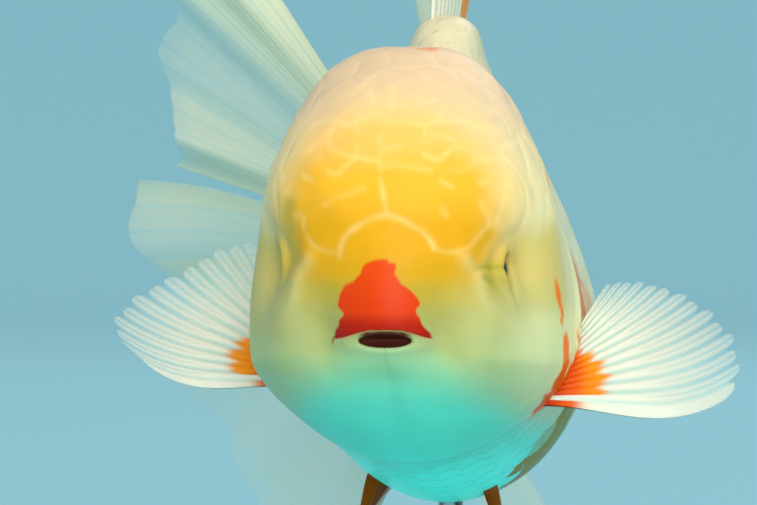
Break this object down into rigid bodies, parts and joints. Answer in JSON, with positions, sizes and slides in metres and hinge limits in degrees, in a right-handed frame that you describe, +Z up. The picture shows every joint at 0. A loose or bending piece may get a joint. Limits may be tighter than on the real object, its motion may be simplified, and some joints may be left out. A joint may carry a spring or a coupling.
{
  "type": "fancy goldfish (oranda) model on a display stand",
  "caption": "Life-size still model of a fancy goldfish with a hooded head, round body and flowing fins, held level over a flat oval base by a short rod.",
  "frame": {"origin": "centre of the stand base's underside, under the middle of the fish's body", "axes": "+Z up, the fish looks along -Y, +X to the fish's left"},
  "size_m": [0.1098, 0.1845, 0.1591],
  "materials": {
    "skin": "painted like wet pale fish skin with pearly scales",
    "wen": "painted like soft amber yellow flesh",
    "muzzle": "painted like wet orange red flesh",
    "fin": "thin translucent white with opaque rays",
    "eye": "polished dark glass with a metallic ring",
    "stand_wood": "oiled walnut",
    "stand_steel": "fine brushed"
  },
  "bodies": {
    "root": {"head": "skin", "gill_cover_left": "skin", "gill_cover_right": "skin", "trunk": "skin", "tail_stalk": "skin", "wen": "wen", "lips": "muzzle", "dorsal_fin": "fin", "pectoral_fin_left": "fin", "pectoral_fin_right": "fin", "pelvic_fin_left": "fin", "pelvic_fin_right": "fin", "anal_fin_left": "fin", "anal_fin_right": "fin", "tail_upper_left": "fin", "tail_upper_right": "fin", "tail_lower_left": "fin", "tail_lower_right": "fin", "eye_left": "eye", "eye_right": "eye", "stand_base": "stand_wood", "stand_rod": "stand_steel"}
  },
  "joints": []
}
